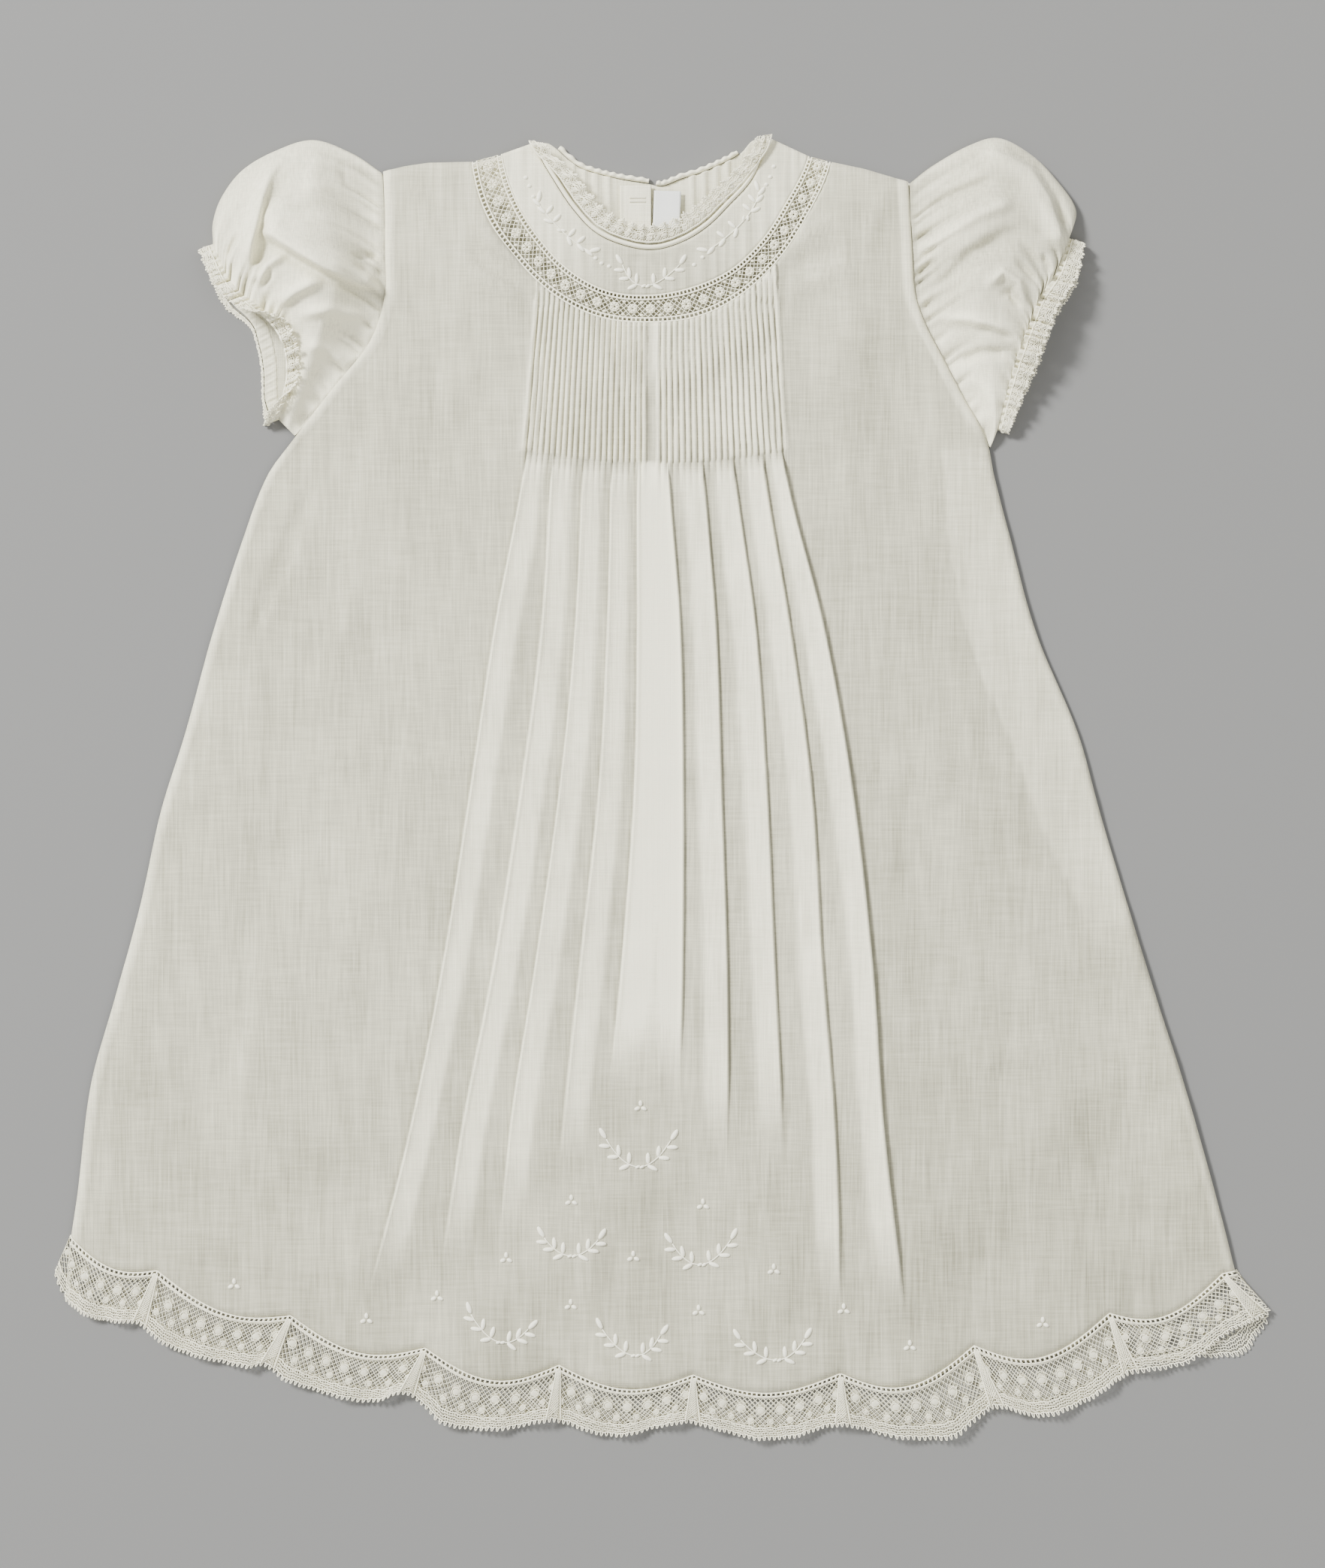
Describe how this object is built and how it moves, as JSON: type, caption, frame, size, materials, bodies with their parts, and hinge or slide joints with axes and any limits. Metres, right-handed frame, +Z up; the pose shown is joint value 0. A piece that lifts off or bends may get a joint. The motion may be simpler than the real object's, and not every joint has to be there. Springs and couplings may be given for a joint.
{
  "type": "christening gown",
  "caption": "Short-sleeved infant gown with a round embroidered yoke, pintucked and pleated front, puff sleeves and a scalloped lace hem, laid flat with its front up",
  "frame": {"origin": "On the surface that the gown lies on, under the middle of the front between neck and hem; mount table_rest.", "axes": "+X to the right of the gown as seen from above, +Y towards the neck, +Z up, out of the front."},
  "size_m": [0.4062, 0.4339, 0.0167],
  "materials": {
    "batiste": "semi-sheer plain weave, matte",
    "lace": "net and cord lace, matte",
    "label_tape": "satin tape, bare"
  },
  "bodies": {
    "root": {"front_panel": "batiste", "back_panel": "batiste", "hem_lace_front": "lace", "hem_lace_back": "lace", "yoke": "batiste", "insertion_band": "lace", "neck_binding": "batiste", "neck_lace": "lace", "back_neck_binding_left": "batiste", "back_neck_binding_right": "batiste", "back_placket": "batiste", "care_label": "label_tape", "left_sleeve": "batiste", "left_cuff_casing": "batiste", "left_cuff_lace": "lace", "right_sleeve": "batiste", "right_cuff_casing": "batiste", "right_cuff_lace": "lace"}
  },
  "joints": []
}
